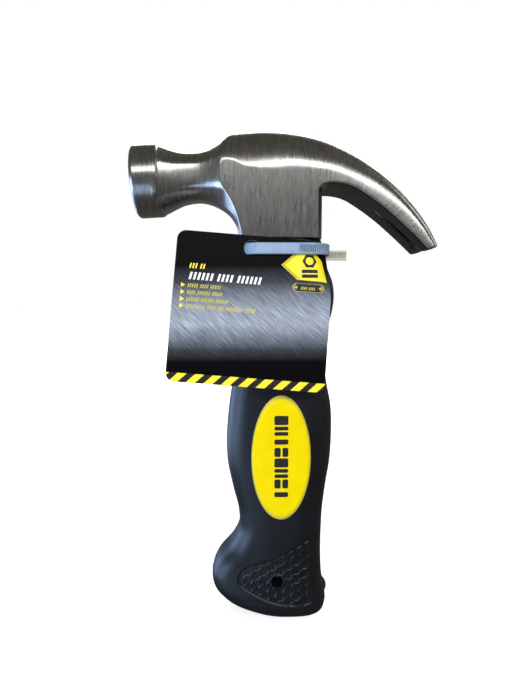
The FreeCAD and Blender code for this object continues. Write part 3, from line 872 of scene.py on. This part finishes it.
def make_tag():
    outline = turned(round_box(TAG_SIZE[0] / 2, TAG_SIZE[1] / 2, TAG_CORNER_R, 10))
    hole = oval(TAG_HOLE, (TAG_HOLE_R, TAG_HOLE_R), 56)
    shapes = tag_print()
    points = []
    edges = []

    def add_ring(ring):
        start = len(points)
        pieces = []
        for a, b in zip(ring, np.roll(ring, -1, axis=0)):
            parts = max(1, int(np.linalg.norm(b - a) / 1.3))
            pieces += [a + (b - a) * k / parts for k in range(parts)]
        points.extend(pieces)
        count = len(pieces)
        edges.extend((start + k, start + (k + 1) % count) for k in range(count))

    for ring in [outline, hole] + [ring for ring, _ in shapes]:
        add_ring(ring)
    grid = np.meshgrid(np.arange(-40, 20, TAG_GRID), np.arange(-34, 24, TAG_GRID))
    grid = np.stack(grid, -1).reshape(-1, 2)
    grid = grid[outline_distance(grid, outline) < -0.5]
    points.extend(list(grid))
    found = delaunay_2d_cdt([Vector(p) for p in points], edges, [], 0, 1e-5)
    flat = np.array([tuple(p) for p in found[0]])
    faces = np.array([f for f in found[2] if len(f) == 3])
    centres = flat[faces].mean(1)
    kept = (outline_distance(centres, outline) < 0) & (outline_distance(centres, hole) > 0)
    faces = faces[kept]
    centres = centres[kept]
    ink = np.full(len(faces), PRINT)
    for ring, colour in shapes:
        ink[outline_distance(centres, ring) < 0] = colour
    area = np.cross(flat[faces[:, 1]] - flat[faces[:, 0]], flat[faces[:, 2]] - flat[faces[:, 0]])
    faces = np.where((area > 0)[:, None], faces, faces[:, ::-1])
    used = np.unique(faces)
    renumber = np.full(len(flat), -1)
    renumber[used] = np.arange(len(used))
    flat = flat[used]
    faces = renumber[faces]
    count = len(flat)
    u = flat[:, 0]
    v = flat[:, 1]
    front = tag_space(u, v, np.full(count, TAG_THICK))
    back = tag_space(u, v, np.zeros(count))
    directed = np.concatenate([faces[:, [0, 1]], faces[:, [1, 2]], faces[:, [2, 0]]])
    seen = set(map(tuple, directed.tolist()))
    rim = [(a, b) for a, b in sorted(seen) if (b, a) not in seen]
    walls = [(a, a + count, b + count, b) for a, b in rim]
    all_faces = faces.tolist() + (faces[:, ::-1] + count).tolist() + walls
    tag = new_mesh("tag_card", np.concatenate([front, back]), all_faces)
    index = ink.tolist() + [BOARD] * (len(faces) + len(walls))
    tag.data.polygons.foreach_set("material_index", index)
    print_place = np.stack([np.tile(u, 2), np.tile(v, 2), np.zeros(2 * count)], 1)
    add_attribute(tag, "print_place", "FLOAT_VECTOR", print_place)
    tag.data.set_sharp_from_angle(angle=math.radians(40))
    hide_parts("hang_tag")
    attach(tag, "tag")
    return tag


# ---------------------------------------------------------------- cable tie

TIE_Z = 133.2
TIE_WIDTH = 3.8
TIE_THICK = 1.1
TIE_CORNERS = [(-8.7, -14.45, 2.2), (16.4, -14.45, 7.2), (16.4, 12.9, 7.5), (-16.4, 12.9, 7.5),
               (-16.4, -5.2, 5.0), (-13.4, -10.2, 4.0)]
TIE_BACK_Y = 12.9
TIE_LOCK = (-4.0, 4.5, 4.6, 5.4)   # low X, high X, depth in Y, height
TIE_CREASE_X = (5.6, 6.4)
TIE_STEP = 0.155
TIE_TAIL_X = 27.0
RIB_PITCH = 0.74
RIB_DEPTH = 0.3


def rounded_path(corners, step):
    """Points every step along straight runs joined by arcs."""
    points = []
    count = len(corners)
    for i in range(count):
        here = np.array(corners[i][:2])
        last = np.array(corners[i - 1][:2])
        after = np.array(corners[(i + 1) % count][:2])
        to_last = unit(last - here)
        to_next = unit(after - here)
        half = (math.pi - math.acos(np.clip(to_last @ to_next, -1, 1))) / 2
        radius = corners[i][2]
        centre = here + unit(to_last + to_next) * radius / math.cos(half)
        first = here + to_last * radius * math.tan(half) - centre
        cross = to_last[0] * to_next[1] - to_last[1] * to_next[0]
        sign = -1 if cross > 0 else 1
        for k in range(25):
            points.append(centre + first @ turn_matrix(sign * 2 * half * k / 24))
    points = np.array(points + points[:1])
    length = path_length(points)
    steps = int(length[-1] / step)
    at = np.arange(steps) * length[-1] / steps
    return np.stack([np.interp(at, length, points[:, k]) for k in (0, 1)], 1)


def sweep(name, path, closed, ribs):
    """A chamfered strap with moulded ribs along a path in the XY plane."""
    tangent = np.roll(path, -1, axis=0) - np.roll(path, 1, axis=0)
    if not closed:
        tangent[0] = path[1] - path[0]
        tangent[-1] = path[-1] - path[-2]
    tangent /= np.linalg.norm(tangent, axis=1, keepdims=True)
    normal = np.stack([tangent[:, 1], -tangent[:, 0]], 1)
    rib = ribs(path) * (0.5 + 0.5 * np.cos(2 * math.pi * path_length(path) / RIB_PITCH))
    h = TIE_WIDTH / 2
    # how far out (in thicknesses), how far up, and whether the ribs press it in
    section = [(0.5, -h + 0.3, 0), (0.5, -h + 0.62, 0), (0.5, -h + 0.85, 1), (0.5, h - 0.85, 1),
               (0.5, h - 0.62, 0), (0.5, h - 0.3, 0), (0.3, h, 0), (-0.3, h, 0),
               (-0.5, h - 0.3, 0), (-0.5, -h + 0.3, 0), (-0.3, -h, 0), (0.3, -h, 0)]
    count = len(section)
    vertices = []
    depth = []
    for i in range(len(path)):
        for out, up, ribbed in section:
            reach = out * TIE_THICK - RIB_DEPTH * ribbed * rib[i]
            depth.append(ribbed * rib[i])
            x, y = path[i] + normal[i] * reach
            vertices.append((x, y, TIE_Z + up))
    rings = len(path)
    faces = ring_quads(rings, count, closed)
    if not closed:
        faces.append(list(range(count)))
        faces.append([(rings - 1) * count + k for k in reversed(range(count))])
    obj = new_mesh(name, vertices, faces)
    recalculate_normals(obj)
    # the rib depth is stored for the nylon's painted shade in the grooves
    add_attribute(obj, "rib", "FLOAT", depth)
    obj.data.set_sharp_from_angle(angle=math.radians(35))
    return obj


def make_tie():
    def loop_ribs(path):
        """Over the card the strap is plain as far as its crease."""
        return np.where(path[:, 1] < -10, smoothstep(path[:, 0], *TIE_CREASE_X), 1.0)

    strap = sweep("tie_strap", rounded_path(TIE_CORNERS, TIE_STEP), True, loop_ribs)
    tail_x = np.arange(TIE_LOCK[1] - 1, TIE_TAIL_X, TIE_STEP)
    tail_path = np.stack([tail_x, np.full(len(tail_x), TIE_BACK_Y + TIE_THICK + 0.5)], 1)
    tail = sweep("tie_tail", tail_path, False, lambda path: np.ones(len(path)))
    lock = make_lock()
    for piece in (strap, tail, lock):
        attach(piece, "hammer")
    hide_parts("cable_tie")
    return [strap, tail, lock]


def make_lock():
    """The tie's lock: a rounded box with a slot for the tail."""
    low_x, high_x, depth, height = TIE_LOCK
    inner_y = TIE_BACK_Y - TIE_THICK / 2 + 0.01
    lock = post("tie_lock", box_ring(low_x, high_x, inner_y, inner_y + depth),
                TIE_Z - height / 2, TIE_Z + height / 2, 2)
    slot = post("cut_slot", box_ring(low_x + 1.6, high_x - 1.9, 13.0, 20.0), TIE_Z - 1.5, TIE_Z + 1.5, 2)
    bevel = lock.modifiers.new("bevel", "BEVEL")
    bevel.width = 0.7 * MM
    bevel.segments = 4
    apply_modifiers(lock)
    cut(lock, slot)
    smooth_to(lock, 35)
    return lock


# ---------------------------------------------------------------- materials

class NodeTree:
    """A node tree with short calls for what the materials and the world below share."""

    def __init__(self, tree):
        self.nodes = tree.nodes
        self.links = tree.links

    def vector(self, operation, value, by=(0.0, 0.0, 0.0)):
        node = self.nodes.new("ShaderNodeVectorMath")
        node.operation = operation
        node.inputs[1].default_value = by
        self.links.new(value, node.inputs[0])
        return node.outputs["Value" if operation == "LENGTH" else "Vector"]

    def attribute(self, name, output="Vector"):
        node = self.nodes.new("ShaderNodeAttribute")
        node.attribute_name = name
        return node.outputs[output]

    def stretched(self, place, scale=(1.0, 1.0, 1.0), turn=0.0):
        node = self.nodes.new("ShaderNodeMapping")
        node.inputs["Scale"].default_value = scale
        node.inputs["Rotation"].default_value = (0.0, 0.0, turn)
        self.links.new(place, node.inputs["Vector"])
        return node.outputs["Vector"]

    def grain(self, place, scale, detail, rough):
        """Noise that is longer one way than another."""
        return self.noise(self.stretched(place, scale), 1.0, detail, rough)

    def noise(self, place, scale, detail, rough):
        node = self.nodes.new("ShaderNodeTexNoise")
        node.inputs["Scale"].default_value = scale
        node.inputs["Detail"].default_value = detail
        node.inputs["Roughness"].default_value = rough
        self.links.new(place, node.inputs["Vector"])
        return node.outputs["Fac"]

    def cells(self, place, scale):
        node = self.nodes.new("ShaderNodeTexVoronoi")
        node.inputs["Scale"].default_value = scale
        self.links.new(place, node.inputs["Vector"])
        return node.outputs["Distance"]

    def ramp(self, value, stops):
        node = self.nodes.new("ShaderNodeValToRGB")
        elements = node.color_ramp.elements
        while len(elements) < len(stops):
            elements.new(0.5)
        for element, (at, colour) in zip(elements, stops):
            element.position = at
            element.color = (*colour, 1) if hasattr(colour, "__len__") else (colour, colour, colour, 1)
        self.links.new(value, node.inputs["Fac"])
        return node.outputs["Color"]

    def math(self, operation, a, b=0.5, c=0.5):
        node = self.nodes.new("ShaderNodeMath")
        node.operation = operation
        for socket, value in zip(node.inputs, (a, b, c)):
            if isinstance(value, (int, float)):
                socket.default_value = value
            else:
                self.links.new(value, socket)
        return node.outputs["Value"]

    def mix(self, factor, a, b):
        node = self.nodes.new("ShaderNodeMix")
        node.data_type = "RGBA"
        for socket, value in zip((node.inputs[0], node.inputs[6], node.inputs[7]), (factor, a, b)):
            if isinstance(value, tuple):
                socket.default_value = (*value, 1)
            elif isinstance(value, (int, float)):
                socket.default_value = value
            else:
                self.links.new(value, socket)
        return node.outputs[2]


class Material(NodeTree):

    def __init__(self, name, **settings):
        self.material = bpy.data.materials.new(name)
        self.material.use_nodes = True
        super().__init__(self.material.node_tree)
        self.shader = self.nodes["Principled BSDF"]
        self.object_place = self.nodes.new("ShaderNodeTexCoord").outputs["Object"]
        for key, value in settings.items():
            socket = self.shader.inputs[key.replace("_", " ")]
            socket.default_value = (*value, 1) if socket.type == "RGBA" else value

    def bump(self, height, strength, distance):
        node = self.nodes.new("ShaderNodeBump")
        node.inputs["Strength"].default_value = strength
        node.inputs["Distance"].default_value = distance
        self.links.new(height, node.inputs["Height"])
        self.set("Normal", node.outputs["Normal"])

    def fine_bump(self, scale, strength, distance):
        self.bump(self.noise(self.object_place, scale, 2, 0.5), strength, distance)

    def between(self, value, low, high):
        """A colour that runs from low to high with a noise."""
        return self.ramp(value, [(0.3, low), (0.7, high)])

    def roughen(self, value, by, base):
        self.set("Roughness", self.math("MULTIPLY_ADD", value, by, base))

    def set(self, name, output):
        self.links.new(output, self.shader.inputs[name])


def steel():
    m = Material("brushed_forged_steel", Metallic=1.0, Anisotropic=0.7)
    place = m.attribute("grain_place")
    fine = m.grain(place, (3.4, 0.2, 0.2), 4, 0.65)
    coarse = m.grain(place, (0.9, 0.13, 0.13), 3, 0.6)
    cloud = m.noise(place, 0.12, 4, 0.6)
    spots = m.cells(m.stretched(place, (0.55, 0.3, 0.3)), 1.0)
    speck = m.ramp(spots, [(0.0, 1.0), (0.05, 1.0), (0.085, 0.0)])
    base = m.ramp(fine, [(0.28, (0.33, 0.32, 0.305)), (0.5, (0.5, 0.49, 0.475)), (0.72, (0.7, 0.69, 0.67))])
    base = m.mix(m.ramp(coarse, [(0.35, 0.45), (0.6, 0.0)]), base, (0.3, 0.285, 0.27))
    base = m.mix(m.ramp(cloud, [(0.4, 0.0), (0.7, 0.4)]), base, (0.36, 0.33, 0.29))
    base = m.mix(m.math("MULTIPLY", speck, 0.7), base, (0.95, 0.94, 0.92))
    dark = m.attribute("scale_dark", "Fac")
    flake = m.noise(place, 0.9, 4, 0.7)
    flake = m.ramp(flake, [(0.35, (0.02, 0.013, 0.009)), (0.7, (0.075, 0.052, 0.036))])
    m.set("Base Color", m.mix(dark, base, flake))
    rough = m.math("MULTIPLY_ADD", fine, 0.17, 0.145)
    rough = m.math("MULTIPLY_ADD", cloud, 0.12, rough)
    m.roughen(dark, 0.15, rough)
    m.set("Tangent", m.attribute("across_grain"))
    m.bump(m.math("ADD", fine, m.math("MULTIPLY", coarse, 0.5)), 0.14, 0.00008)
    return m.material


def rubber():
    m = Material("grip_rubber_soft", Base_Color=(0.012, 0.016, 0.024), Specular_IOR_Level=0.5)
    cloud = m.noise(m.object_place, 90, 4, 0.6)
    m.set("Base Color", m.between(cloud, (0.002, 0.003, 0.0042), (0.0048, 0.0062, 0.0085)))
    m.roughen(m.grain(m.object_place, (300, 300, 90), 4, 0.7), 0.2, 0.3)
    m.bump(m.noise(m.object_place, 2600, 2, 0.6), 0.25, 0.0001)
    return m.material


def yellow_plastic():
    m = Material("inlay_yellow", Specular_IOR_Level=0.06)
    cloud = m.noise(m.object_place, 120, 3, 0.5)
    base = m.between(cloud, (0.75, 0.575, 0.001), (0.82, 0.64, 0.002))
    place = m.stretched(m.object_place, (1 / (BADGE_HALF[0] * MM), 0, 1 / (BADGE_HALF[1] * MM)))
    shift = (BADGE_CENTRE[0] / BADGE_HALF[0], 0, BADGE_CENTRE[1] / BADGE_HALF[1])
    share = m.vector("LENGTH", m.vector("SUBTRACT", place, shift))
    # painted shade: the base colour darkens to a dull yellow round the inlay's edge, over its bevel
    rim = m.ramp(share, [(0.0, 0.0), (0.93, 0.0), (0.965, 1.0)])
    m.set("Base Color", m.mix(rim, base, (0.56, 0.5, 0.08)))
    m.roughen(cloud, 0.12, 0.34)
    m.fine_bump(1500, 0.08, 0.00008)
    return m.material


def ink(name, colour, rough=0.4):
    """Printed ink or plain plastic, slightly uneven."""
    m = Material(name, Base_Color=colour)
    cloud = m.noise(m.object_place, 260, 4, 0.6)
    dark, light = (tuple(min(c * share, 1.0) for c in colour) for share in (0.88, 1.12))
    m.set("Base Color", m.between(cloud, dark, light))
    m.roughen(cloud, 0.15, rough)
    m.fine_bump(1800, 0.05, 0.00005)
    return m.material


def tag_background():
    """Black at the top and bottom, with a soft band of brushed metal between."""
    m = Material("card_print", Specular_IOR_Level=0.05)
    place = m.attribute("print_place")
    split = m.nodes.new("ShaderNodeSeparateXYZ")
    m.links.new(place, split.inputs[0])
    v = m.math("MULTIPLY_ADD", split.outputs["Y"], 1 / 55.0, 0.6)
    band = m.ramp(v, [(0.2, 0.0), (0.27, 0.12), (0.34, 0.5), (0.42, 1.0), (0.52, 0.92), (0.6, 0.55),
                      (0.68, 0.15), (0.78, 0.0)])
    slant = m.stretched(place, turn=math.radians(44))
    stroke = m.grain(slant, (0.16, 3.6, 1), 4, 0.62)
    metal = m.ramp(stroke, [(0.3, (0.13, 0.145, 0.18)), (0.5, (0.28, 0.31, 0.37)),
                            (0.7, (0.52, 0.58, 0.68))])
    m.set("Base Color", m.mix(band, (0.0015, 0.0015, 0.002), metal))
    m.roughen(stroke, 0.15, 0.3)
    m.bump(m.noise(m.object_place, 700, 3, 0.5), 0.05, 0.0001)
    return m.material


def board():
    m = Material("card_board", Roughness=0.75)
    fibre = m.grain(m.object_place, (900, 900, 250), 4, 0.7)
    m.set("Base Color", m.between(fibre, (0.55, 0.53, 0.49), (0.72, 0.7, 0.66)))
    m.bump(fibre, 0.15, 0.0001)
    return m.material


def nylon(name, low, high):
    """Milky plastic, with painted shade darkening the grooves between its ribs."""
    m = Material(name, Subsurface_Weight=0.12, Subsurface_Scale=0.001, Transmission_Weight=0.08)
    cloud = m.noise(m.object_place, 300, 3, 0.5)
    # painted shade: the base colour darkens in the grooves, where the ribs press the strap in
    groove = tuple(c * 0.42 for c in low)
    m.set("Base Color", m.mix(m.attribute("rib", "Fac"), m.between(cloud, low, high), groove))
    m.roughen(cloud, 0.15, 0.24)
    m.fine_bump(2500, 0.06, 0.00005)
    return m.material


def plain_metal(name, low, high, rough):
    m = Material(name, Metallic=1.0)
    cloud = m.noise(m.object_place, 500, 4, 0.6)
    m.set("Base Color", m.between(cloud, low, high))
    m.roughen(cloud, 0.2, rough)
    m.bump(cloud, 0.1, 0.00005)
    return m.material


def paint(obj, *materials):
    keep = [0] * len(obj.data.polygons)
    obj.data.polygons.foreach_get("material_index", keep)
    obj.data.materials.clear()
    for material in materials:
        obj.data.materials.append(material)
    if len(materials) > 1:
        obj.data.polygons.foreach_set("material_index", keep)


# ---------------------------------------------------------------- camera, light and stage

CAMERA_TARGET = Vector((-6.03, 0.0, 97.8)) * MM
CAMERA_DISTANCE = 191.97 * MM
CAMERA_AZIMUTH = math.radians(-1.6)
CAMERA_ELEVATION = math.radians(5.6)
CAMERA_LENS = 26.95


def aim(obj, place, target):
    obj.location = place
    obj.rotation_euler = (Vector(target) - Vector(place)).to_track_quat("-Z", "Y").to_euler()


def make_camera():
    data = bpy.data.cameras.new("camera")
    data.lens = CAMERA_LENS
    data.clip_start = 0.005
    data.clip_end = 20.0
    camera = bpy.data.objects.new("camera", data)
    bpy.context.scene.collection.objects.link(camera)
    flat = math.cos(CAMERA_ELEVATION)
    away = Vector((flat * math.sin(CAMERA_AZIMUTH), -flat * math.cos(CAMERA_AZIMUTH),
                   math.sin(CAMERA_ELEVATION)))
    aim(camera, CAMERA_TARGET + away * CAMERA_DISTANCE, CAMERA_TARGET)
    bpy.context.scene.camera = camera


def soft_light(name, azimuth, elevation, distance, size, power, colour):
    """A soft box around the head's middle; azimuth 0 is in front, 90 on the right."""
    data = bpy.data.lights.new(name, "AREA")
    data.shape = "RECTANGLE"
    data.size = size[0]
    data.size_y = size[1]
    data.energy = power
    data.color = colour
    light = bpy.data.objects.new(name, data)
    bpy.context.scene.collection.objects.link(light)
    a = math.radians(azimuth)
    e = math.radians(elevation)
    centre = Vector((0, 0, 0.12))
    place = centre + distance * Vector((math.cos(e) * math.sin(a), -math.cos(e) * math.cos(a), math.sin(e)))
    aim(light, place, centre)
    return light


FLOOR_R = 2500.0
FLOOR_Z = -0.02
SKY_STOPS = [(0.0, (0.08, 0.075, 0.065)), (0.42, (0.13, 0.125, 0.115)), (0.62, (0.16, 0.16, 0.16)),
             (0.85, (0.11, 0.105, 0.09))]


def make_world():
    """A dim warm room for what the part mirrors; the camera itself sees white."""
    world = bpy.data.worlds.new("world")
    bpy.context.scene.world = world
    world.use_nodes = True
    sky = NodeTree(world.node_tree)
    room = sky.nodes["Background"]
    split = sky.nodes.new("ShaderNodeSeparateXYZ")
    sky.links.new(sky.nodes.new("ShaderNodeTexCoord").outputs["Generated"], split.inputs[0])
    height = sky.nodes.new("ShaderNodeMapRange")
    height.inputs["From Min"].default_value = -1.0
    sky.links.new(split.outputs["Z"], height.inputs["Value"])
    colour = sky.ramp(height.outputs["Result"], SKY_STOPS)
    sky.links.new(colour, room.inputs["Color"])
    backdrop = sky.nodes.new("ShaderNodeBackground")
    backdrop.inputs["Color"].default_value = (1, 1, 1, 1)
    backdrop.inputs["Strength"].default_value = 1.0
    mix = sky.nodes.new("ShaderNodeMixShader")
    seen = sky.nodes.new("ShaderNodeLightPath").outputs["Is Camera Ray"]
    for socket, source in zip(mix.inputs, (seen, room.outputs[0], backdrop.outputs[0])):
        sky.links.new(source, socket)
    sky.links.new(mix.outputs[0], sky.nodes["World Output"].inputs["Surface"])


def make_stage():
    ring = [(x, y, FLOOR_Z) for x, y in oval((0, 0), (FLOOR_R, FLOOR_R), 96)]
    floor = new_mesh("floor", ring, [list(range(len(ring)))], smooth=False)
    m = Material("floor_white", Base_Color=(0.7, 0.7, 0.7), Roughness=0.9, Specular_IOR_Level=0.0,
                 Emission_Color=(1.0, 1.0, 1.0))
    m.set("Emission Strength", m.ramp(m.vector("LENGTH", m.object_place), [(0.12, 0.62), (0.5, 1.0)]))
    floor.data.materials.append(m.material)
    floor.visible_glossy = False
    floor.visible_diffuse = False
    floor.visible_shadow = False
    make_world()
    soft_light("key_strip", 16, 30, 1.1, (1.5, 0.25), 6.6, (0.98, 1.0, 1.0))
    soft_light("blue_low", -34, -33, 1.0, (1.0, 0.48), 1.6, (0.5, 0.67, 1.0))
    soft_light("left_sheen", -105, -8, 1.0, (1.6, 0.5), 8.5, (0.42, 0.6, 1.0))
    soft_light("left_front", -68, -10, 1.0, (0.6, 0.5), 3.4, (0.45, 0.63, 1.0))
    soft_light("right_sheen", 100, 25, 1.1, (0.3, 0.6), 1.2, (1.0, 0.95, 0.88))
    soft_light("back_soft", 172, 38, 1.3, (1.2, 0.4), 9.0, (1.0, 0.99, 0.97))
    for name, azimuth, power in (("wash_front", -8, 11.5), ("wash_back", 170, 9.0)):
        wash = soft_light(name, azimuth, 14, 1.2, (1.0, 0.8), power, (1.0, 1.0, 1.0))
        wash.visible_glossy = False
    bpy.context.scene.view_settings.view_transform = "Standard"


# ---------------------------------------------------------------- build

make_camera()
make_stage()
head = make_head()
paint(head, steel())
grip = make_grip()
paint(grip, rubber())
yellow = yellow_plastic()
mark_ink = ink("mark_black", (0.012, 0.012, 0.013), 0.35)
for side, where in ((-1, "front"), (1, "back")):
    paint(make_badge("inlay_" + where, side, "badge_" + where), yellow)
    paint(make_marks("inlay_marks_" + where, side), mark_ink)
tag = make_tag()
paint(tag, tag_background(), ink("card_yellow", (0.9, 0.72, 0.01)), ink("card_white", (0.85, 0.85, 0.84)),
      ink("card_black", (0.003, 0.003, 0.003)), ink("card_dim_yellow", (0.5, 0.43, 0.04)), board())
# painted shade and painted bluish reflection: the strap and lock take a darker blue-grey copy of the tail's
# cream nylon, though the whole tie is one nylon
shaded_blue_nylon = nylon("nylon_painted_blue_shade", (0.22, 0.31, 0.46), (0.3, 0.4, 0.55))
warm_nylon = nylon("nylon_tail", (0.74, 0.7, 0.59), (0.86, 0.82, 0.7))
for piece, finish in zip(make_tie(), (shaded_blue_nylon, warm_nylon, shaded_blue_nylon)):
    paint(piece, finish)
paint(nodes["eye_bond"], ink("bond_resin", (0.09, 0.06, 0.035), 0.45))
paint(nodes["handle_core"], plain_metal("core_fibre", (0.3, 0.29, 0.27), (0.42, 0.41, 0.39), 0.4))
paint(nodes["starter_magnet"], plain_metal("magnet_nickel", (0.62, 0.61, 0.58), (0.74, 0.73, 0.7), 0.2))
